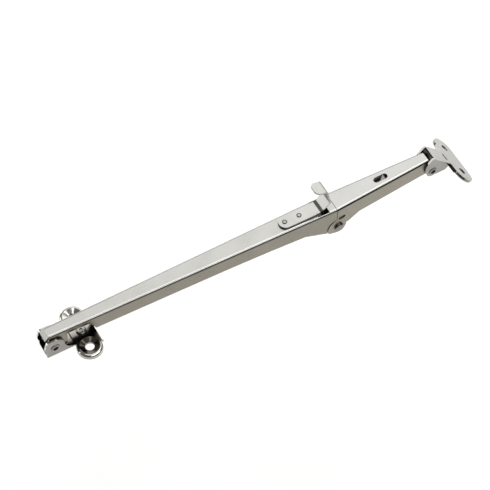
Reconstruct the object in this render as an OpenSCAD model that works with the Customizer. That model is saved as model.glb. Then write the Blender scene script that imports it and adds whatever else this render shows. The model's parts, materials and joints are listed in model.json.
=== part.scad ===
// Folding lock stay: two pressed channel arms, a leaf lock and a screw-on bracket at each end.
// Origin: centre of the frame bracket's two screw holes, on its mounting face.
// +X runs along the stay towards the sash bracket, +Z away from the frame, -Y is the near side.

/* [Reach] */
// Frame pin to fold rivet
long_reach = 219; // [200:1:260]
// Fold rivet to sash pin
short_reach = 78; // [70:1:100]
// Upward lean of the short arm when the stay is open, in degrees
open_lean = 2.5; // [0:0.5:4]

/* [Arms] */
// Thickness of the arm sheet
sheet = 1.5; // [1.2:0.1:1.6]
// Outer radius of the bend between top and web
bend_r = 2; // [1.6:0.1:2.4]
// Arm width at both end pins
end_w = 9.2; // [9:0.1:9.4]
// Arm width at the fold
fold_w = 16.7; // [16.5:0.1:17.2]
// Top face of an arm above its end pin
top_over_pin = 12; // [11.5:0.5:13]
// Top face of an arm above the fold rivet
top_over_fold = 20.5; // [20:0.5:22]

/* [Frame bracket] */
// Frame pin above the mounting face
frame_pin_h = 8; // [8:0.5:10]
// Frame pin to the line of screw holes
frame_hole_reach = 22; // [20:0.5:26]
// Distance between the two screw holes
frame_hole_gap = 26; // [25:0.5:30]
// Radius of a lobe round its screw hole
frame_lobe_r = 9.3; // [9:0.1:10]

/* [Sash bracket] */
// Sash pin above the mounting face
sash_pin_h = 10; // [9.6:0.2:12]
// Sash pin to the line of screw holes
sash_hole_reach = 21.4; // [20:0.2:24]
// Distance between the two screw holes
sash_hole_gap = 23.4; // [22:0.2:26]
// Radius of a lobe round its screw hole
sash_lobe_r = 8.8; // [8:0.1:9.4]
// Slope of the sash plate below the horizontal, in degrees
sash_slope = 45.5; // [40:0.5:50]

/* [Screws and pins] */
// Radius of the frame screw holes
frame_hole_r = 3.2; // [2.5:0.1:3.4]
// Radius of the sash screw holes
sash_hole_r = 2.8; // [2.2:0.1:3]
// Radius of the end pins
pin_r = 2.3; // [2:0.1:2.4]
// Radius of the fold rivet
rivet_r = 2.5; // [2.2:0.1:2.8]
// Running clearance of a pin in its bore
run_gap = 0.06; // [0.03:0.01:0.09]

/* [Leaf lock] */
// Thickness of the spring leaf
leaf_t = 1; // [0.8:0.1:1.2]
// Width of the spring leaf
leaf_w = 10.4; // [9.6:0.2:11]
// Height of the thumb tab over the arm's top face
tab_h = 23; // [18:1:25]

/* [Hidden] */
$fn = 64;
cut = 0.1;                       // how far a cutter passes a face it opens

half_end = end_w / 2;
half_fold = fold_w / 2;
ear_t = 1.5;                     // sheet of both brackets
ear_in = half_end + 0.6;         // inner face of an ear
ear_out = ear_in + ear_t;
frame_pin = [-frame_hole_reach, 0, frame_pin_h];

// the arm's top face and the fold rivet, measured from the frame pin
arm_top = top_over_pin;
fold_z = top_over_pin - top_over_fold;
seam = 2;                        // gap line between the arms, left of the fold rivet
lobe_r = 6;                      // web round the fold rivet
seat_r = 9.2;                    // round seat in the long arm's webs for the short arm's lobe
seat_gap = 0.25;

// ---------- helpers ----------

// extrude a shape drawn in X and Z between two values of Y
module slab(y0, y1)
    translate([0, y1, 0]) rotate([90, 0, 0]) linear_extrude(y1 - y0) children();

// the same slab on both sides of the centre plane
module both_sides(y0, y1) {
    slab(y0, y1) children();
    slab(-y1, -y0) children();
}

// round rod along Y
module rod(r, y0, y1)
    translate([0, y0, 0]) rotate([-90, 0, 0]) cylinder(r = r, h = y1 - y0);

// tube along Y
module tube(r_out, r_in, y0, y1)
    difference() {
        rod(r_out, y0, y1);
        rod(r_in, y0 - cut, y1 + cut);
    }

// low domed rivet head standing on the plane y, facing +Y
module head(r, h, y) {
    rise = h * 0.6;
    dome = (r * r + rise * rise) / (2 * rise);
    translate([0, y, 0]) rotate([-90, 0, 0]) rotate_extrude() intersection() {
        translate([0, h - dome]) circle(dome, $fn = 160);
        square([r, h]);
    }
}

// place children at both +Y and mirrored at -Y
module mirrored() {
    children();
    mirror([0, 1, 0]) children();
}

// point where a line from e touches a circle round c, on the lower side
function touch(e, c, r) =
    let (d = e - c, a = atan2(d[1], d[0]) + acos(r / norm(d)))
    c + r * [cos(a), sin(a)];

// symmetric plan outline from [x, half width] points
module plan(pts, inset) {
    n = len(pts);
    polygon(concat(
        [for (p = pts) [p[0], p[1] - inset]],
        [for (i = [n - 1 : -1 : 0]) [pts[i][0], inset - pts[i][1]]]));
}

// cutter that rounds one top edge between two plan points
module edge_cutter(p, q, z, r) {
    d = q - p;
    translate([p[0], p[1], z]) rotate([0, 0, atan2(d[1], d[0])]) rotate([90, 0, 90])
        translate([0, 0, -cut]) linear_extrude(norm(d) + 2 * cut)
            difference() {
                translate([-r, -r]) square(r + 1);
                translate([-r, -r]) circle(r);
            }
}

// inverted-U channel: plan points, top height, and as child a block with the webs' side outline
module channel(pts, top) {
    difference() {
        intersection() {
            translate([0, 0, top - 60]) linear_extrude(60) plan(pts, 0);
            children();
        }
        translate([0, 0, top - 60]) linear_extrude(60 - sheet) plan(pts, sheet);
        mirrored() edge_cutter(pts[0], pts[1], top, bend_r);
    }
}

// ---------- brackets ----------

module quarter(r)
    intersection() {
        circle(r);
        square(r);
    }

// round lobe with a rounded upper rim, standing on z = 0
module lobe(r, t, rim)
    rotate_extrude() {
        square([r - rim, t]);
        square([r, t - rim]);
        translate([r - rim, t - rim]) quarter(rim);
    }

// plate between the lobes: straight far edge at x1, rounded upper rim
module plate_bar(x0, x1, half, t, rim)
    slab(-half, half) {
        square([x1 - x0 - rim, t]);
        square([x1 - x0, t - rim]);
        translate([x1 - x0 - rim, t - rim]) quarter(rim);
    }

module lobed_plate(reach, gap, r, t, rim, x0, x1) {
    for (s = [-1, 1]) translate([reach, s * gap / 2, 0]) lobe(r, t, rim);
    translate([x0, 0, 0]) plate_bar(x0, x1, gap / 2, t, rim);
}

// screw holes with a dished countersink round each
module screw_holes(reach, gap, r, t, dish_r, dish)
    for (s = [-1, 1]) translate([reach, s * gap / 2, 0]) {
        translate([0, 0, -cut]) cylinder(r = r, h = t + 2 * cut);
        translate([0, 0, t - dish]) cylinder(r1 = r, r2 = dish_r, h = dish);
        translate([0, 0, t]) cylinder(r = dish_r, h = cut);
    }

// ear outlines are drawn from the pin; the mounting face is at z = -pin height
module frame_ear() {
    difference() {
        union() {
            translate([-0.2, 1.2]) circle(7.3);
            translate([-3.9, 5.9]) circle(2.6);
            translate([-6.5, -frame_pin_h]) square([2.6, frame_pin_h + 5.9]);
            translate([-3.9, 0]) square([3.9, 8.5]);
            translate([-5, -frame_pin_h]) square([18.5, 7.2]);
            translate([-5, -frame_pin_h]) square([12, 9]);
        }
        translate([15.2, 1.2]) circle(8.1);
    }
}

module sash_ear() {
    circle(5);
    polygon([[floor_x0, -sash_pin_h], [floor_x0 - 1, 1 - sash_pin_h], [floor_x0 - 0.6, -2.4], [-8.6, 0.4],
             [-6, 2.8], [-2, 4.58], [4.5, 2.2], [7.6, -0.8], [11, -4.4], [11, -sash_pin_h]]);
}

floor_x0 = -9.6;                 // where the sash bracket's floor begins, left of the pin

module frame_bracket() {
    plate_t = 3.4;
    plate_rim = 2.2;
    color("silver") difference() {
        union() {
            lobed_plate(0, frame_hole_gap, frame_lobe_r, plate_t, plate_rim,
                        -frame_lobe_r + 1.5, frame_lobe_r + 1);
            translate([-frame_hole_reach - 6.5, -ear_out, 0])
                cube([frame_hole_reach + 2, 2 * ear_out, ear_t]);
            translate(frame_pin) both_sides(ear_in, ear_out) frame_ear();
        }
        screw_holes(0, frame_hole_gap, frame_hole_r, plate_t, frame_lobe_r - plate_rim - 0.3, 1.7);
        // room for the arm's webs over the plate
        translate([-frame_hole_reach - 7, -ear_in, ear_t])
            cube([frame_hole_reach - 1, 2 * ear_in, 20]);
        translate([0, 0, stud_foot]) cylinder(r = stud_shank_r, h = 5);
        translate(frame_pin) rod(pin_r, -ear_out - cut, ear_out + cut);
    }
}

stud_shank_r = 1.6;
stud_foot = 0.8;                 // solid plate left under the stud

module rest_stud() {
    stud_r = 3.6;
    plate_t = 3.4;
    color("gainsboro") difference() {
        union() {
            translate([0, 0, stud_foot]) cylinder(r = stud_shank_r, h = plate_t - stud_foot + 0.5);
            translate([0, 0, plate_t]) lobe(stud_r, 1.6, 1);
        }
        translate([0, 0, plate_t + 0.9]) cylinder(r1 = 0.5, r2 = 1.2, h = 0.8);
    }
}

// end pin with a low domed head and a cup at each side
module end_pin(span) {
    head_r = 3.3;
    head_h = 0.9;
    cup_r = 1.9;
    cup_depth = 2;
    difference() {
        union() {
            rod(pin_r, -span, span);
            mirrored() head(head_r, head_h, span);
        }
        mirrored() rod(cup_r, span + head_h - cup_depth, span + head_h + cut);
    }
}

module end_sleeve() tube(3.6, pin_r + run_gap, -(half_end - sheet - 0.35), half_end - sheet - 0.35);

module end_washers() mirrored() tube(3.4, pin_r + run_gap, half_end + 0.25, ear_in - 0.05);

module frame_pin_piece() color("darkgray") translate(frame_pin) end_pin(ear_out);
module frame_sleeve() color("dimgray") translate(frame_pin) end_sleeve();
module frame_washers() color("gold") translate(frame_pin) end_washers();

// ---------- long arm ----------

// half width of an arm at x from its narrow end, for its length between pins
function half_at(x, reach) = half_end + (half_fold - half_end) * x / reach;

long_plan = [[-7, half_at(-7, long_reach)], [long_reach - seam, half_at(long_reach - seam, long_reach)]];
web_low = [long_reach - 27, -3.6];               // where the web starts down to the fold lobe
fold_pt = [long_reach, fold_z];
lobe_pt = touch(web_low, fold_pt, lobe_r);

// clearance notch over the frame plate
module web_notch() {
    notch_x = 10.2;
    notch_z = 7.6;
    corner_r = 3.7;
    c = [24.9, notch_z - corner_r];
    lean = 25;
    p = c + corner_r * [cos(lean), sin(lean)];
    drop = p[1] + 12;
    polygon([[notch_x, -12], [notch_x, notch_z], [c[0], notch_z], p,
             [p[0] + drop * tan(lean), -12]]);
    translate(c) circle(corner_r);
}

module long_web() {
    lug_r = 5;
    difference() {
        union() {
            polygon([[-3, 0], [-3, arm_top], [long_reach - seam, arm_top],
                     [long_reach - seam, lobe_pt[1]], lobe_pt, web_low, [long_reach - 54, -2.2],
                     [long_reach - 90, -1.3], [28, -0.9]]);
            circle(lug_r);
            translate([0, -3.4]) square([12, 6]);
        }
        translate([-3 - 10, -20]) square([10, 22.6]);
        web_notch();
        translate(fold_pt) circle(seat_r);
    }
    circle(lug_r);
}

// lug plates inside the short arm's webs, with the solid step that joins them to the webs
lug_in = 4.4;
lug_out = 5.9;
module fold_lug() {
    circle(lobe_r - 0.2);
    polygon([[0, lobe_r - 0.2], [-7, 8], [-14, 8], [-14, 0.4], [-2.2, -5.3]]);
}

module fold_step()
    difference() {
        polygon([[-7, 8], [-14, 8], [-14, 0.4], [-7, -3]]);
        circle(seat_r);
    }

module long_arm() {
    nose = 3;
    color("lightgray") translate(frame_pin) difference() {
        union() {
            channel(long_plan, arm_top) slab(-20, 20) long_web();
            slab(-half_end + 0.3, half_end - 0.3)
                polygon([[-3, arm_top], [-3 - nose, arm_top - nose],
                         [-3 - nose + 1.06, arm_top - nose - 1.06], [-2.4, arm_top - sheet],
                         [-2.4, arm_top - 0.7]]);
            translate([fold_pt[0], 0, fold_pt[1]]) {
                both_sides(lug_in, lug_out) fold_lug();
                both_sides(lug_in, half_fold - sheet + cut) fold_step();
            }
        }
        rod(pin_r + run_gap, -half_end - cut, half_end + cut);
        translate([fold_pt[0], 0, fold_pt[1]]) rod(rivet_r + run_gap, -lug_out - cut, lug_out + cut);
        // window for the lock tongue
        translate([long_reach - 16.5, -7, arm_top - 3]) cube([9.2, 14, 4]);
        for (x = rivet_xs) translate([x, 0, arm_top - 3]) cylinder(r = leaf_rivet_r, h = 4);
    }
}

// ---------- leaf lock ----------

rivet_xs = [long_reach - 39.4, long_reach - 28];  // leaf rivets, from the frame pin
leaf_rivet_r = 1.1;
pack_t = 0.7;                                     // packing strip between leaf and arm
leaf_start = long_reach - 43.8 + leaf_w / 2;      // centre of the leaf's round end
leaf_bend = long_reach - 24.5;                    // where the free leaf begins
rise_x = long_reach - 16;                         // where the free leaf starts to bend up
tongue_x = 6.7;                                   // middle of the tongue, from the start of the bend
tongue_w = 5.6;
// bends of the free leaf's upper face, from the arm's top face at rise_x
rise_r = 7;                                       // inner radius of the bend into the 45 degree rise
rise_0 = [0, pack_t + leaf_t];
rise_1 = rise_0 + rise_r * [sin(45), 1 - cos(45)];
rise_2 = rise_1 + [4.2, 4.2];

module at_arm_top() translate(frame_pin + [0, 0, arm_top]) children();
module at_rise() translate(frame_pin + [rise_x, 0, arm_top]) children();

// strip with a round end, from the leaf's start to where the free leaf begins
module leaf_strip(z, t)
    translate([0, 0, z]) difference() {
        union() {
            translate([leaf_start, 0, 0]) cylinder(r = leaf_w / 2, h = t);
            translate([leaf_start, -leaf_w / 2, 0]) cube([leaf_bend - leaf_start, leaf_w, t]);
        }
        for (x = rivet_xs) translate([x, 0, -cut]) cylinder(r = leaf_rivet_r, h = t + 2 * cut);
    }

module leaf_packing() color("black") at_arm_top() leaf_strip(0, pack_t);

module leaf_root()
    color("whitesmoke") at_arm_top() difference() {
        leaf_strip(pack_t, leaf_t);
        // ring groove round each rivet head
        for (x = rivet_xs) translate([x, 0, pack_t + leaf_t - 0.5]) cylinder(r = 1.9, h = 1);
    }

module lock_leaf() {
    w = leaf_w / 2;
    skin = leaf_t * sin(45);
    centre = rise_0 + [0, rise_r];
    far = 2 * rise_r;
    color("whitesmoke") at_rise() {
        translate([leaf_bend - rise_x, -w, pack_t]) cube([rise_x - leaf_bend, 2 * w, leaf_t]);
        intersection() {
            translate([centre[0], 0, centre[1]]) tube(rise_r + leaf_t, rise_r, -w, w);
            slab(-w - cut, w + cut) polygon([centre, centre - [0, far], centre + [far, -far]]);
        }
        slab(-w, w) polygon([rise_1 + [skin, -skin], rise_2 + [skin, -skin], rise_2, rise_1]);
        // tongue that drops through the arm's window in front of the cam's nose
        slab(-tongue_w / 2, tongue_w / 2) polygon([
            [tongue_x - leaf_t / 2, -7.8], [tongue_x + leaf_t / 2, -7.8],
            [tongue_x + leaf_t / 2, rise_1[1] + 1.6], [tongue_x - leaf_t / 2, rise_1[1] + 0.6]]);
    }
}

module thumb_tab() {
    t = 1.2;
    w = leaf_w / 2;
    bend = 2.6;                                    // outer radius of the bend under the lip
    lip = 7.6;                                     // flat part of the lip
    corner = 3.6;
    lean = 2;                                      // the leg leans back by this much
    tilt = 14;                                     // the lip rises towards its free end
    skin = leaf_t * sin(45);
    foot = rise_2 + [skin, -skin];
    centre = [foot[0] - lean - bend, tab_h - bend];
    // a point of the leaf's side outline, seen from the tilted bend
    function turned(p) = let (d = p - centre)
        [d[0] * cos(tilt) - d[1] * sin(tilt), d[0] * sin(tilt) + d[1] * cos(tilt)];
    color("whitesmoke") at_rise() translate([centre[0], 0, centre[1]]) rotate([0, tilt, 0]) {
        slab(-w, w) polygon([turned(foot), turned(foot + [0.3, 1.2]), [bend, 0], [bend - t, 0],
                             turned(rise_2 + [-0.45, 1.4]), turned(rise_2)]);
        intersection() {
            tube(bend, bend - t, -w, w);
            slab(-w - cut, w + cut) square(2 * bend);
        }
        // lip with round corners
        translate([-lip, 0, bend - t]) linear_extrude(t) {
            translate([corner, -w]) square([lip - corner, 2 * w]);
            translate([0, -w + corner]) square([lip, 2 * (w - corner)]);
            for (s = [-1, 1]) translate([corner, s * (w - corner)]) circle(corner);
        }
    }
}

module leaf_rivets() {
    over = pack_t + leaf_t - 0.5;                  // floor of the groove in the leaf
    under = sheet + back_t;
    color("gray") at_arm_top() for (x = rivet_xs) translate([x, 0, 0]) {
        translate([0, 0, -under]) cylinder(r = leaf_rivet_r, h = under + over + 0.3);
        translate([0, 0, over]) lobe(1.4, 0.9, 0.5);
        mirror([0, 0, 1]) translate([0, 0, under]) lobe(1.9, 0.8, 0.5);
    }
}

back_t = 1.2;                                     // plate under the leaf rivets

module backing_plate() {
    x0 = rivet_xs[0] - 4;
    x1 = rivet_xs[1] + 4;
    color("darkgray") at_arm_top() translate([0, 0, -sheet - back_t]) difference() {
        translate([x0, -3.6, 0]) cube([x1 - x0, 7.2, back_t]);
        for (x = rivet_xs) translate([x, 0, -cut]) cylinder(r = leaf_rivet_r, h = back_t + 2 * cut);
    }
}

// ---------- short arm ----------

short_plan = [[-9.3, half_at(short_reach + 9.3, short_reach)], [short_reach + 6, half_at(-6, short_reach)]];
sash_pt = [short_reach, top_over_fold - top_over_pin];
short_end = short_reach - 2.5;
seam_gap = 0.35;
short_seam = seam_gap - seam + top_over_fold * tan(open_lean);
key_pt = [2.6, 9.4];
slot_x = 38.6;

// short arm parts are drawn from the fold rivet with the arm level
module at_fold()
    translate(frame_pin + [long_reach, 0, fold_z]) rotate([0, -open_lean, 0]) children();

module short_web() {
    deep = 20;
    foot = touch([-27, 4.2], [0, 0], lobe_r + 0.2);
    difference() {
        union() {
            slab(-deep, deep)
                polygon([[seam_gap - seam, 0], [short_seam, top_over_fold], [short_end, top_over_fold],
                         [short_end, sash_pt[1] - 1.4], [17.5, 5.3], [7.8, 0.6], [0, 0.6]]);
            rod(lobe_r + 0.2, -deep, deep);
            translate([sash_pt[0], 0, sash_pt[1]]) rod(4.6, -deep, deep);
            // lobe that fills the seat in the long arm's webs
            intersection() {
                rod(seat_r - seat_gap, -deep, deep);
                slab(-deep, deep) polygon([[0, 20], [-20, 20], [-20, 1.6], foot, [0, 0]]);
            }
        }
        translate([key_pt[0], 0, key_pt[1]]) slab(-deep, deep) obround(5.6, 3.6);
    }
}

module obround(l, w) {
    square([l - w, w], center = true);
    for (s = [-1, 1]) translate([s * (l - w) / 2, 0]) circle(w / 2);
}

module short_arm() {
    slot_l = 11;
    slot_w = 4.4;
    color("lightgray") at_fold() difference() {
        channel(short_plan, top_over_fold) short_web();
        rod(rivet_r, -12, 12);
        translate([sash_pt[0], 0, sash_pt[1]]) rod(pin_r + run_gap, -12, 12);
        translate([slot_x, 0, top_over_fold - 3]) linear_extrude(4) obround(slot_l, slot_w);
        // the top plate stops at the seam
        translate([-20, -12, top_over_fold - bend_r]) cube([20 + short_seam, 24, 6]);
    }
}

// thin leaf under the short arm's top, with a curled tongue standing in the slot
module friction_leaf() {
    z = top_over_fold - sheet;
    t = 0.7;
    drop = 3.4;
    color("darkgray") at_fold() {
        slab(-3.2, 3.2) polygon([[13, z - 5], [13.4, z - 5.5], [30, z - drop], [50, z - drop],
                                 [54, z - t], [60, z - t], [60, z], [53.6, z],
                                 [49.6, z - drop + t], [30.2, z - drop + t]]);
        slab(-1.7, 1.7) polygon([[slot_x - 4, z - drop + t / 2], [slot_x - 1, z - drop + t / 2],
                                 [slot_x + 3.6, z + 0.9], [slot_x + 3, z + 1.4], [slot_x - 1, z - 1.6]]);
    }
}

module fold_rivet() {
    head_r = 3.5;
    head_h = 1.5;
    edge = 0.4;
    stand_off = 0.2;                               // clears the web's taper under the head
    color("gray") at_fold() {
        rod(rivet_r, -half_fold - stand_off, half_fold + stand_off);
        mirrored() translate([0, half_fold + stand_off, 0]) rotate([-90, 0, 0]) {
            cylinder(r = head_r, h = head_h - edge);
            translate([0, 0, head_h - edge]) cylinder(r1 = head_r, r2 = head_r - edge, h = edge);
        }
    }
}

cam_half = 3;
module fold_spacers() color("dimgray") at_fold()
    mirrored() tube(4.4, rivet_r + run_gap, cam_half + 0.05, lug_in - 0.05);

module fold_washers() color("gold") at_fold()
    mirrored() tube(5, rivet_r + run_gap, lug_out + 0.05, half_fold - sheet - 0.3);

// cam on the rivet: a nose in front of the lock tongue, keyed to the short arm
module lock_cam() {
    nose = [-10.9, 13.6];                          // tip, low enough to pass under the raised tongue
    nose_w = 0.9;
    nose_back = 0.5;                               // the tip's back slopes out by this much
    back = key_pt[0] + 4.6;
    color("darkgray") at_fold() difference() {
        union() {
            rod(5.2, -cam_half, cam_half);
            rotate([0, open_lean, 0]) slab(-cam_half, cam_half)
                polygon([[-4.4, -2.4], nose - [nose_back, 3.6], nose, nose + [nose_w, 0],
                         nose + [nose_w, -1.8],
                         [-4, 9], [back, 12.4], [back, 5], [4.6, 1.5]]);
        }
        rod(rivet_r + run_gap, -cam_half - cut, cam_half + cut);
        translate([key_pt[0], 0, key_pt[1]]) slab(-4, 4) obround(5.6, 3.6);
    }
}

module cam_key() color("dimgray") at_fold()
    translate([key_pt[0], 0, key_pt[1]])
        slab(-half_fold + 0.9, half_fold - 0.9) obround(5.5, 3.5);

// ---------- sash bracket ----------

// sash parts are drawn from the sash pin; the plate faces down before it is turned over
module at_sash()
    at_fold() translate([sash_pt[0], 0, sash_pt[1]]) rotate([0, sash_slope + open_lean, 0])
        rotate([180, 0, 0]) children();

module sash_bracket() {
    plate_t = 2.6;
    plate_rim = 1.2;
    lobe_gap = sash_hole_gap + 2.2;
    floor_x1 = sash_hole_reach - sash_lobe_r + 1.4;    // the floor ends inside the plate
    color("silver") at_sash() difference() {
        union() {
            translate([0, 0, -sash_pin_h]) {
                lobed_plate(sash_hole_reach, lobe_gap, sash_lobe_r, plate_t, plate_rim,
                            sash_hole_reach - sash_lobe_r - 0.5, sash_hole_reach + sash_lobe_r);
                // floor between the ears, its free end sloped back
                slab(-ear_out, ear_out)
                    polygon([[floor_x0, 0], [floor_x1, 0], [floor_x1, ear_t], [floor_x0 + 1.2, ear_t]]);
            }
            both_sides(ear_in, ear_out) sash_ear();
        }
        translate([0, 0, -sash_pin_h])
            screw_holes(sash_hole_reach, sash_hole_gap, sash_hole_r, plate_t, sash_hole_r + 2, 1.2);
        // relief slot where the floor runs into the plate
        translate([9.4, -3.2, -sash_pin_h - cut]) cube([1.5, 6.4, 4]);
        rod(pin_r, -ear_out - cut, ear_out + cut);
    }
}

module sash_pin_piece() color("darkgray") at_sash() end_pin(ear_out);
module sash_sleeve() color("dimgray") at_sash() end_sleeve();
module sash_washers() color("gold") at_sash() end_washers();

frame_bracket();
rest_stud();
frame_pin_piece();  // frame_pin
frame_sleeve();
frame_washers();
long_arm();
backing_plate();
leaf_packing();
leaf_rivets();
leaf_root();
lock_leaf();
thumb_tab();
short_arm();
fold_rivet();
fold_spacers();
fold_washers();
lock_cam();
cam_key();
friction_leaf();
sash_pin_piece();  // sash_pin
sash_sleeve();
sash_washers();
sash_bracket();
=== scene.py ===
import json
import math
import bpy
from mathutils import Matrix, Vector


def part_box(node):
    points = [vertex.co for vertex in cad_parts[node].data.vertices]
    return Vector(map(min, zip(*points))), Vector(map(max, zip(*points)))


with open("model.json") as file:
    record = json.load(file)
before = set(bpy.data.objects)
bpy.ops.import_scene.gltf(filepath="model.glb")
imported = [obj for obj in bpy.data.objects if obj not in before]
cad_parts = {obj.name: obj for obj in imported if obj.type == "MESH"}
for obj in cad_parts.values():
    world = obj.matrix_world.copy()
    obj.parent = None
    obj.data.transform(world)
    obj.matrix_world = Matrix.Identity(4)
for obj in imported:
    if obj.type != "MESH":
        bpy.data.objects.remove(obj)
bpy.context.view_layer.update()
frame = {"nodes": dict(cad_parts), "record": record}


# ---------- materials ----------


def principled(name, color, metallic=1.0, rough=0.3):
    mat = bpy.data.materials.new(name)
    mat.use_nodes = True
    nt = mat.node_tree
    bsdf = nt.nodes["Principled BSDF"]
    bsdf.inputs["Base Color"].default_value = (*color, 1)
    bsdf.inputs["Metallic"].default_value = metallic
    bsdf.inputs["Roughness"].default_value = rough
    return mat, nt, bsdf


def coords(nt, scale):
    tc = nt.nodes.new("ShaderNodeTexCoord")
    mp = nt.nodes.new("ShaderNodeMapping")
    mp.inputs["Scale"].default_value = scale
    nt.links.new(tc.outputs["Object"], mp.inputs["Vector"])
    return mp.outputs["Vector"]


def noise(nt, vec, scale, detail=4, rough=0.6):
    n = nt.nodes.new("ShaderNodeTexNoise")
    n.inputs["Scale"].default_value = scale
    n.inputs["Detail"].default_value = detail
    n.inputs["Roughness"].default_value = rough
    nt.links.new(vec, n.inputs["Vector"])
    return n.outputs["Fac"]


def ranged(nt, val, a0, a1, b0, b1):
    m = nt.nodes.new("ShaderNodeMapRange")
    m.inputs["From Min"].default_value = a0
    m.inputs["From Max"].default_value = a1
    m.inputs["To Min"].default_value = b0
    m.inputs["To Max"].default_value = b1
    nt.links.new(val, m.inputs["Value"])
    return m.outputs["Result"]


def ramp(nt, val, c0, c1, p0=0.3, p1=0.7):
    r = nt.nodes.new("ShaderNodeValToRGB")
    r.color_ramp.elements[0].position = p0
    r.color_ramp.elements[0].color = (*c0, 1)
    r.color_ramp.elements[1].position = p1
    r.color_ramp.elements[1].color = (*c1, 1)
    nt.links.new(val, r.inputs["Fac"])
    return r.outputs["Color"]


BUMP_DEPTH = 0.00001


def bump(nt, bsdf, parts):
    """Adds up (value, strength) pairs into one bump."""
    total = None
    for val, k in parts:
        m = nt.nodes.new("ShaderNodeMath")
        m.operation = "MULTIPLY_ADD"
        m.inputs[1].default_value = k
        m.inputs[2].default_value = 0.0
        nt.links.new(val, m.inputs[0])
        if total is not None:
            nt.links.new(total, m.inputs[2])
        total = m.outputs[0]
    b = nt.nodes.new("ShaderNodeBump")
    b.inputs["Strength"].default_value = 1.0
    b.inputs["Distance"].default_value = BUMP_DEPTH
    nt.links.new(total, b.inputs["Height"])
    nt.links.new(b.outputs["Normal"], bsdf.inputs["Normal"])


def math_node(nt, op, a, b):
    m = nt.nodes.new("ShaderNodeMath")
    m.operation = op
    for i, v in enumerate((a, b)):
        if isinstance(v, (int, float)):
            m.inputs[i].default_value = v
        else:
            nt.links.new(v, m.inputs[i])
    return m.outputs[0]


def tint(nt, color, mask, factor):
    """Multiplies a colour by factor where the mask is 1."""
    m = nt.nodes.new("ShaderNodeMix")
    m.data_type = "RGBA"
    m.blend_type = "MULTIPLY"
    nt.links.new(mask, m.inputs[0])
    nt.links.new(color, m.inputs[6])
    m.inputs[7].default_value = (*factor, 1)
    return m.outputs[2]


def facing(nt, axis, lo, hi, signed=False):
    """1 where the part's own surface normal points along the axis by more than hi, 0 below lo."""
    tc = nt.nodes.new("ShaderNodeTexCoord")
    sep = nt.nodes.new("ShaderNodeSeparateXYZ")
    nt.links.new(tc.outputs["Normal"], sep.inputs[0])
    v = sep.outputs[axis]
    if not signed:
        v = math_node(nt, "ABSOLUTE", v, 0.0)
    return ranged(nt, v, lo, hi, 0.0, 1.0)


def inner_face(nt):
    """1 on faces of an ear or a web that look at the centre plane, where painted shade goes."""
    tc = nt.nodes.new("ShaderNodeTexCoord")
    pos = nt.nodes.new("ShaderNodeSeparateXYZ")
    nor = nt.nodes.new("ShaderNodeSeparateXYZ")
    nt.links.new(tc.outputs["Object"], pos.inputs[0])
    nt.links.new(tc.outputs["Normal"], nor.inputs[0])
    inward = ranged(nt, math_node(nt, "MULTIPLY", pos.outputs["Y"], nor.outputs["Y"]), -0.0015, -0.003, 0, 1)
    return math_node(nt, "MULTIPLY", inward, facing(nt, "Y", 0.8, 0.95))


def plate_masks(nt):
    """Flats and dished seats on the plate's near side, for painted shade, and the rounded rims, for a
    painted highlight.
    """
    tc = nt.nodes.new("ShaderNodeTexCoord")
    pos = nt.nodes.new("ShaderNodeSeparateXYZ")
    nor = nt.nodes.new("ShaderNodeSeparateXYZ")
    nt.links.new(tc.outputs["Object"], pos.inputs[0])
    nt.links.new(tc.outputs["Normal"], nor.inputs[0])
    z = nor.outputs["Z"]
    near = ranged(nt, pos.outputs["Y"], 0.003, -0.004, 0, 1)
    flat = ranged(nt, z, 0.985, 0.998, 0, 1)
    dish_normal = 0.906                # Z part of the normal on a screw hole's dished seat
    off_dish = math_node(nt, "ABSOLUTE", math_node(nt, "SUBTRACT", z, dish_normal), 0.0)
    dish = ranged(nt, off_dish, 0.012, 0.02, 1, 0)
    rim_highlight = math_node(nt, "MULTIPLY", ranged(nt, z, 0.03, 0.08, 0, 1), ranged(nt, z, 0.93, 0.86, 0, 1))
    return math_node(nt, "MULTIPLY", near, math_node(nt, "MAXIMUM", flat, dish)), rim_highlight


def crevice(nt, reach):
    """1 deep inside a corner or a hollow, 0 on an open face, from ambient occlusion: where painted shade
    goes.
    """
    ao = nt.nodes.new("ShaderNodeAmbientOcclusion")
    ao.samples = 8
    ao.inputs["Distance"].default_value = reach
    return ranged(nt, ao.outputs["AO"], 0.25, 0.75, 1.0, 0.0)


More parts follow.
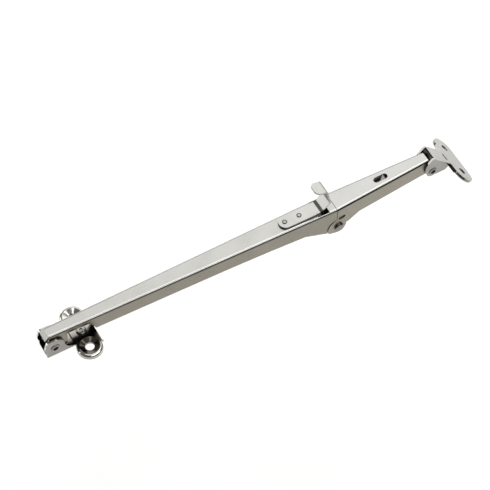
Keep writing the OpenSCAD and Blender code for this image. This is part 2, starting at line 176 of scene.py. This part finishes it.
def steel(name, dark, light, rough, spread, grain=(6, 900, 900), grain_k=0.6, mottle_k=0.4,
          web_shade=None, edge=None, inner=None, near_shade=None, rim_highlight=None, corner_shade=None, reach=0.004,
          burnish=0.0):
    """Brushed steel: long grain, cloudy wear, fine mottle, and tints that paint shade on webs, inner faces,
    the bent edge and crevices, and shade and a highlight on a plate's flats and rims.
    """
    mat, nt, bsdf = principled(name, light, 1.0, rough)
    long_grain = noise(nt, coords(nt, grain), 1.0, 3, 0.7)
    clouds = noise(nt, coords(nt, (60, 60, 60)), 1.0, 4, 0.55)
    fine = noise(nt, coords(nt, (1200, 1200, 1200)), 1.0, 2, 0.5)
    color = ramp(nt, clouds, dark, light)
    # painted shade on faces that look sideways (the webs)
    if web_shade:
        color = tint(nt, color, facing(nt, "Y", 0.8, 0.95), web_shade)
    # plate: painted shade on the near side's flats and seats, painted highlight on the rounded rims
    if near_shade:
        shaded_flats, highlight_rims = plate_masks(nt)
        color = tint(nt, tint(nt, color, shaded_flats, near_shade), highlight_rims, rim_highlight)
    # painted shade on faces that look into a channel or between the ears
    if inner:
        color = tint(nt, color, inner_face(nt), inner)
    # painted dark reflection: a dark line along the bent edge between top and web
    if edge:
        bend_shade_band = math_node(nt, "MULTIPLY", facing(nt, "Y", 0.5, 0.65), facing(nt, "Z", 0.2, 0.35, True))
        color = tint(nt, color, bend_shade_band, edge)
    # painted shade in corners and hollows, from ambient occlusion
    if corner_shade:
        color = tint(nt, color, crevice(nt, reach), corner_shade)
    nt.links.new(color, bsdf.inputs["Base Color"])
    worn = math_node(nt, "ADD", ranged(nt, long_grain, 0.3, 0.7, rough - spread, rough + spread),
                     ranged(nt, clouds, 0.3, 0.7, -0.03, 0.04))
    if burnish:
        # the bend between top and web is rubbed smoother than the flats
        bend = math_node(nt, "MULTIPLY", facing(nt, "Y", 0.1, 0.25), facing(nt, "Z", 0.1, 0.3, True))
        worn = math_node(nt, "SUBTRACT", worn, math_node(nt, "MULTIPLY", bend, burnish))
    nt.links.new(worn, bsdf.inputs["Roughness"])
    bump(nt, bsdf, [(long_grain, grain_k), (fine, mottle_k)])
    return mat


# tints that multiply the steel's colour to paint shade
WEB_SHADE = (0.89, 0.83, 0.72)            # painted shade, warm toned, on the outer faces of the webs
INNER_SHADE = (0.3, 0.28, 0.25)           # painted shade inside the channels
EAR_GAP_SHADE = (0.12, 0.11, 0.1)       # painted shade between the brackets' ears
CORNER_SHADE = (0.25, 0.23, 0.2)           # painted shade in corners
MATS = {
    "arm": steel("satin_arm", (0.28, 0.278, 0.262), (0.32, 0.318, 0.302), 0.3, 0.04, web_shade=WEB_SHADE,
                 inner=INNER_SHADE, corner_shade=(0.7, 0.68, 0.64), reach=0.002, burnish=0.16),
    "short": steel("satin_short_arm", (0.31, 0.308, 0.295), (0.34, 0.338, 0.325), 0.3, 0.04, web_shade=WEB_SHADE,
                   edge=(0.2, 0.19, 0.17), inner=INNER_SHADE, corner_shade=(0.5, 0.48, 0.44), reach=0.003, burnish=0.16),
    "leaf": steel("satin_leaf", (0.29, 0.288, 0.275), (0.335, 0.332, 0.317), 0.14, 0.03,
                  corner_shade=CORNER_SHADE, reach=0.003),
    "bracket": steel("polished_bracket", (0.27, 0.26, 0.242), (0.35, 0.34, 0.318), 0.13, 0.03,
                     (200, 200, 200), 0.5, 0.4, inner=EAR_GAP_SHADE, corner_shade=CORNER_SHADE, reach=0.006),
    # frame bracket: painted shade on the plate's near half, painted highlight on its rims
    "frame_bracket": steel("polished_frame_bracket", (0.27, 0.26, 0.242), (0.35, 0.34, 0.318), 0.13, 0.03,
                           (200, 200, 200), 0.5, 0.4, inner=EAR_GAP_SHADE, near_shade=(0.2, 0.19, 0.17),
                           rim_highlight=(2.3, 2.3, 2.3), corner_shade=CORNER_SHADE, reach=0.006),
    "rivet": steel("turned_rivet", (0.22, 0.212, 0.198), (0.28, 0.27, 0.252), 0.22, 0.05,
                   (300, 300, 300), 0.4, 0.3),
    "inner": steel("dull_inner", (0.09, 0.086, 0.08), (0.13, 0.125, 0.115), 0.45, 0.06),
    "washer": steel("bronze_washer", (0.42, 0.32, 0.17), (0.5, 0.39, 0.22), 0.35, 0.05),
}
# packing strip under the leaf: matt and not metal, coloured near black as painted shade for the dark line
# under the leaf's edge
mat, nt, bsdf = principled("packing_painted_shade", (0.02, 0.02, 0.018), 0.0, 0.8)
packing_grain = noise(nt, coords(nt, (500, 3000, 3000)), 1.0, 4)
nt.links.new(ramp(nt, packing_grain, (0.012, 0.012, 0.011), (0.035, 0.033, 0.03)), bsdf.inputs["Base Color"])
bump(nt, bsdf, [(packing_grain, 1.5)])
MATS["packing"] = mat

OWN = {"short_arm": "short", "frame_bracket": "frame_bracket"}
slots = {p["node"]: p["material_slot"] for p in frame["record"]["subparts"]}
for node, obj in frame["nodes"].items():
    obj.data.materials.clear()
    obj.data.materials.append(MATS[OWN.get(node, slots[node])])

# ---------- softened edges on the pressed parts ----------

EDGES = {"long_arm": 0.00008, "short_arm": 0.00008, "leaf_root": 0.0002, "lock_leaf": 0.00025,
         "thumb_tab": 0.0003, "frame_bracket": 0.00035, "sash_bracket": 0.00035,
         "rest_stud": 0.0001, "lock_cam": 0.0002, "backing_plate": 0.0002}
for node, width in EDGES.items():
    mod = frame["nodes"][node].modifiers.new("edge", "BEVEL")
    mod.width = width
    mod.segments = 2
    mod.limit_method = "ANGLE"
    mod.angle_limit = math.radians(40)
    mod.use_clamp_overlap = True
    mod.harden_normals = False

# ---------- stage ----------

FLOOR_Z = -0.30
bpy.ops.mesh.primitive_plane_add(size=5, location=(0.25, 0.35, FLOOR_Z))
floor = bpy.context.object
floor.name = "floor"
mat, nt, bsdf = principled("pale_floor", (0.9, 0.9, 0.9), 0.0, 0.7)
nt.links.new(ramp(nt, noise(nt, coords(nt, (8, 8, 8)), 1.0, 3), (0.88, 0.88, 0.88), (0.92, 0.92, 0.915)),
             bsdf.inputs["Base Color"])
floor.data.materials.append(mat)


def softbox(name, where, target, w, h, watts):
    data = bpy.data.lights.new(name, "AREA")
    data.shape = "RECTANGLE"
    data.size = w
    data.size_y = h
    data.energy = watts
    o = bpy.data.objects.new(name, data)
    bpy.context.collection.objects.link(o)
    o.location = where
    d = Vector(target) - Vector(where)
    o.rotation_euler = d.to_track_quat("-Z", "Y").to_euler()


C = Vector((0.14, 0, 0))
softbox("top_back", C + Vector((0.28, 0.5, 0.83)) * 1.3 + Vector((0.22, 0, 0)), C + Vector((0.12, 0, 0)),
        1.5, 1.3, 12.2)
softbox("left_card", C + Vector((-0.82, 0.5, 0.3)) * 1.1, C, 0.8, 0.6, 2.8)
softbox("right_card", C + Vector((1.0, 0.5, -0.02)), C + Vector((0.15, 0, 0)), 0.8, 0.5, 1.75)
softbox("back_card", C + Vector((0.28, 0.96, 0.02)) * 1.4, C, 1.9, 0.5, 6.0)
softbox("overhead", (0.32, -0.05, 1.5), (0.32, 0.0, FLOOR_Z), 1.5, 0.7, 11.5)
softbox("front_top", C + Vector((0.2, -0.72, 0.9)) * 1.1, C, 1.4, 0.4, 6)

world = bpy.data.worlds.new("studio")
bpy.context.scene.world = world
world.use_nodes = True
wt = world.node_tree
tc = wt.nodes.new("ShaderNodeTexCoord")
sep = wt.nodes.new("ShaderNodeSeparateXYZ")
wt.links.new(tc.outputs["Generated"], sep.inputs[0])
bg = wt.nodes["Background"]
bg.inputs["Color"].default_value = (1.0, 0.99, 0.96, 1)
wt.links.new(ranged(wt, sep.outputs["Y"], -0.6, 0.3, 0.12, 0.25), bg.inputs["Strength"])

# ---------- camera ----------

AZ, EL, DIST = math.radians(-29.1), math.radians(55.53), 1.379
SENSOR, FOCAL, FRAME = 36, 2000, 490      # sensor in mm; focal length and frame width in image units
LENS = SENSOR * FOCAL / FRAME
NUDGE_LEFT, NUDGE_UP = 2.02, 5.42         # small shift of the aim, in image units
back = Vector((math.sin(AZ) * math.cos(EL), -math.cos(AZ) * math.cos(EL), math.sin(EL)))
right = Vector((math.cos(AZ), math.sin(AZ), 0))
up = back.cross(right)
# the camera aims a little left of and above the arm's middle, seen from the frame pin
aim = Vector(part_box("frame_pin")[0]) * 0.5 + Vector(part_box("frame_pin")[1]) * 0.5 + Vector((0.15, 0, 0))
unit = DIST / FOCAL
shift = -right * NUDGE_LEFT * unit + up * NUDGE_UP * unit
cam_data = bpy.data.cameras.new("camera")
cam_data.lens = LENS
cam_data.sensor_width = SENSOR
cam = bpy.data.objects.new("camera", cam_data)
bpy.context.collection.objects.link(cam)
rot = Matrix((right, up, back)).transposed()
cam.matrix_world = Matrix.Translation(aim + shift + back * DIST) @ rot.to_4x4()
cam_data.clip_start = 0.05
cam_data.clip_end = 20
bpy.context.scene.camera = cam

bpy.context.scene.view_settings.view_transform = "Standard"
bpy.context.scene.view_settings.look = "None"
bpy.context.scene.view_settings.exposure = 0
bpy.context.scene.view_settings.gamma = 1
